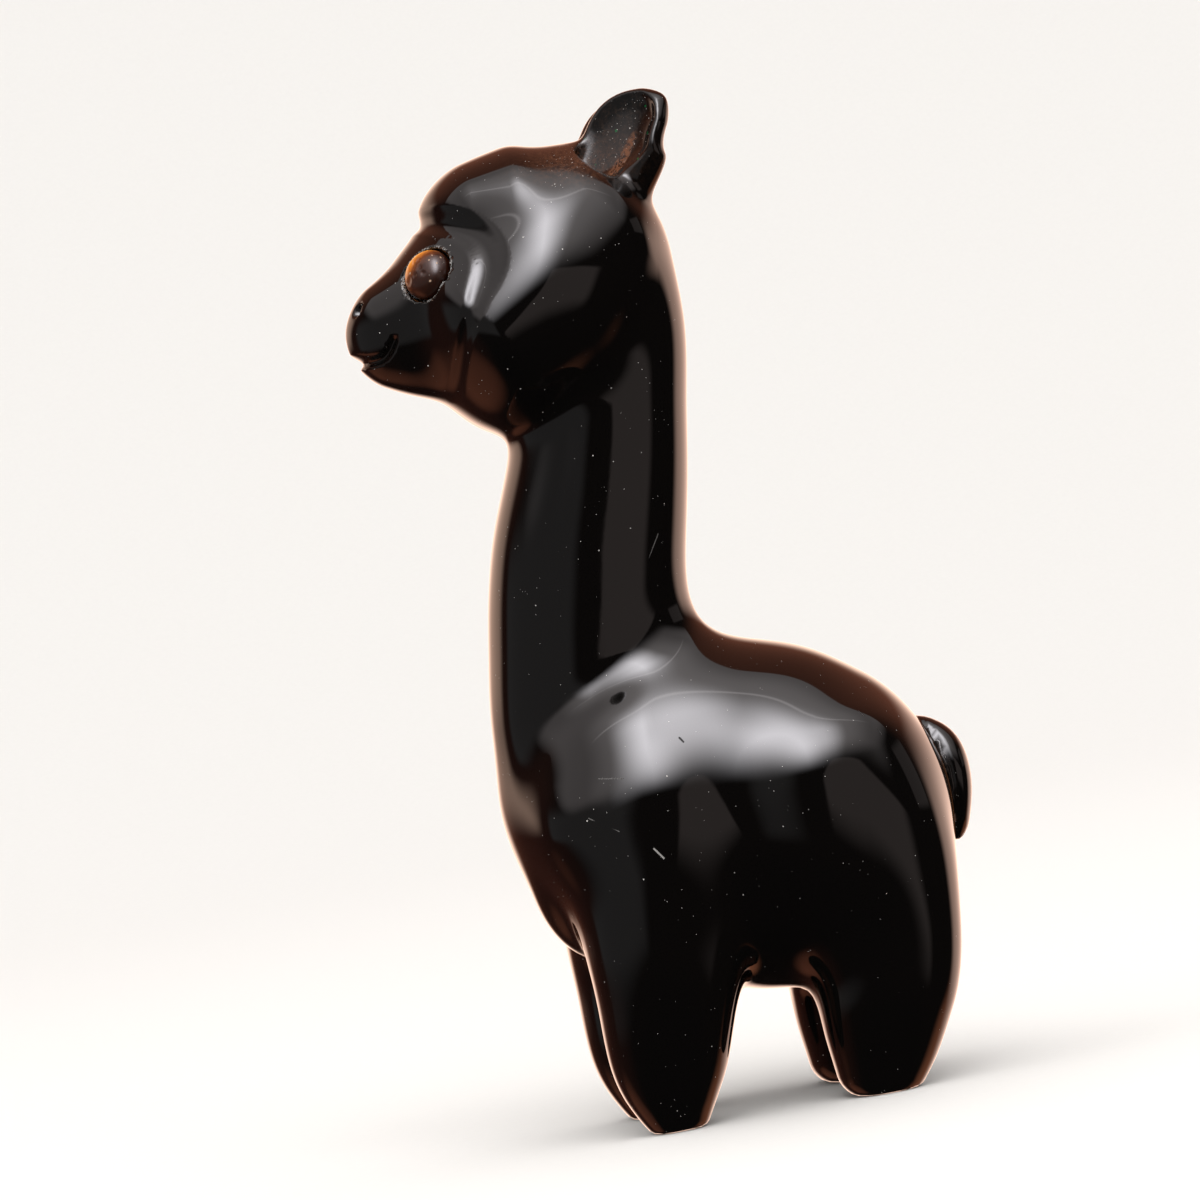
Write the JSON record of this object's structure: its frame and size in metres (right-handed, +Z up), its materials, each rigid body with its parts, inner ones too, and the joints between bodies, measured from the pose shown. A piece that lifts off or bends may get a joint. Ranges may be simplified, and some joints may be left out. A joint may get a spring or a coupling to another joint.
{
  "type": "carved llama figurine",
  "caption": "Small llama carved from polished black obsidian, standing on its feet, with upright ears and round tiger's-eye beads for eyes.",
  "frame": {"origin": "on the ground, under the middle of the box around the figure", "axes": "+Z up, from the feet to the ears; -X the way the face looks; +Y the llama's right side"},
  "size_m": [0.0562, 0.0344, 0.1053],
  "materials": {
    "obsidian": "polished",
    "tiger_eye": "polished"
  },
  "bodies": {
    "root": {"llama_body": "obsidian", "eye_left": "tiger_eye", "eye_right": "tiger_eye"}
  },
  "joints": []
}
